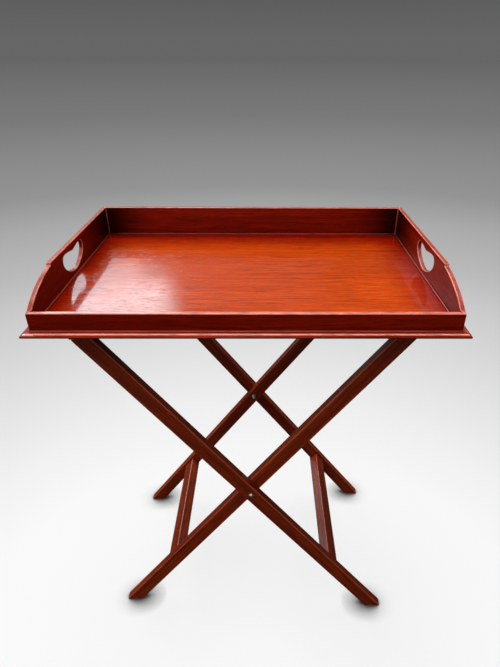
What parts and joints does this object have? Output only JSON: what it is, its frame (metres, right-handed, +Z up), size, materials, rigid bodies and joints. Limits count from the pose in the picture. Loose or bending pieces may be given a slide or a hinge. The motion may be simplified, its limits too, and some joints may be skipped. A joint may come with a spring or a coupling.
{
  "type": "folding tray table",
  "caption": "Galleried wooden tray with heart-shaped hand holes and a low front, resting on a folding cross-legged stand.",
  "frame": {"origin": "the point on the ground below the middle of the tray, with all four feet on the ground", "axes": "+X to the right of a person who faces the low front of the tray, +Y from front to back, +Z up"},
  "size_m": [0.684, 0.456, 0.8475],
  "materials": {
    "floor_wood": "polished orange-red mahogany",
    "gallery_wood": "polished dark red mahogany",
    "moulding_wood": "polished red mahogany",
    "stand_wood": "satin dark red mahogany",
    "pivot_steel": "dull plated steel",
    "strap_webbing": "woven cotton webbing",
    "tack_brass": "aged brass"
  },
  "bodies": {
    "outer_frame": {"outer_leg_front": "stand_wood", "outer_leg_back": "stand_wood", "outer_top_rail": "stand_wood", "outer_stretcher": "stand_wood", "pivot_bolt_front": "pivot_steel", "pivot_head_washer_front": "pivot_steel", "pivot_spacer_front": "pivot_steel", "pivot_nut_washer_front": "pivot_steel", "pivot_nut_front": "pivot_steel", "pivot_bolt_back": "pivot_steel", "pivot_head_washer_back": "pivot_steel", "pivot_spacer_back": "pivot_steel", "pivot_nut_washer_back": "pivot_steel", "pivot_nut_back": "pivot_steel", "webbing_strap_front": "strap_webbing", "webbing_strap_back": "strap_webbing", "tack_outer_front_1": "tack_brass", "tack_outer_front_2": "tack_brass", "tack_outer_front_3": "tack_brass", "tack_outer_back_1": "tack_brass", "tack_outer_back_2": "tack_brass", "tack_outer_back_3": "tack_brass"},
    "inner_frame": {"inner_leg_front": "stand_wood", "inner_leg_back": "stand_wood", "inner_top_rail": "stand_wood", "inner_stretcher": "stand_wood", "tack_inner_front_1": "tack_brass", "tack_inner_front_2": "tack_brass", "tack_inner_front_3": "tack_brass", "tack_inner_back_1": "tack_brass", "tack_inner_back_2": "tack_brass", "tack_inner_back_3": "tack_brass"},
    "tray": {"tray_floor": "floor_wood", "gallery_front": "gallery_wood", "gallery_back": "gallery_wood", "gallery_left": "gallery_wood", "gallery_right": "gallery_wood", "moulding_front": "moulding_wood", "moulding_back": "moulding_wood", "moulding_left": "moulding_wood", "moulding_right": "moulding_wood", "bead_front": "gallery_wood", "bead_back": "gallery_wood", "bead_left": "gallery_wood", "bead_right": "gallery_wood"}
  },
  "joints": [
    {"name": "stand_fold", "type": "hinge", "parent": "outer_frame", "child": "inner_frame", "pos_m": [0, 0, 0.3793], "axis": [0, -1, 0], "range_deg": [0, 66], "deforming": ["webbing_strap_front", "webbing_strap_back"]},
    {"name": "tray_lift", "type": "slide", "parent": "outer_frame", "child": "tray", "axis": [0, 0, 1], "range_m": [0, 0.39]}
  ],
  "couplings": [
    {"joint": "tray_lift", "follows": "stand_fold", "m_per_rad": 0.335}
  ]
}
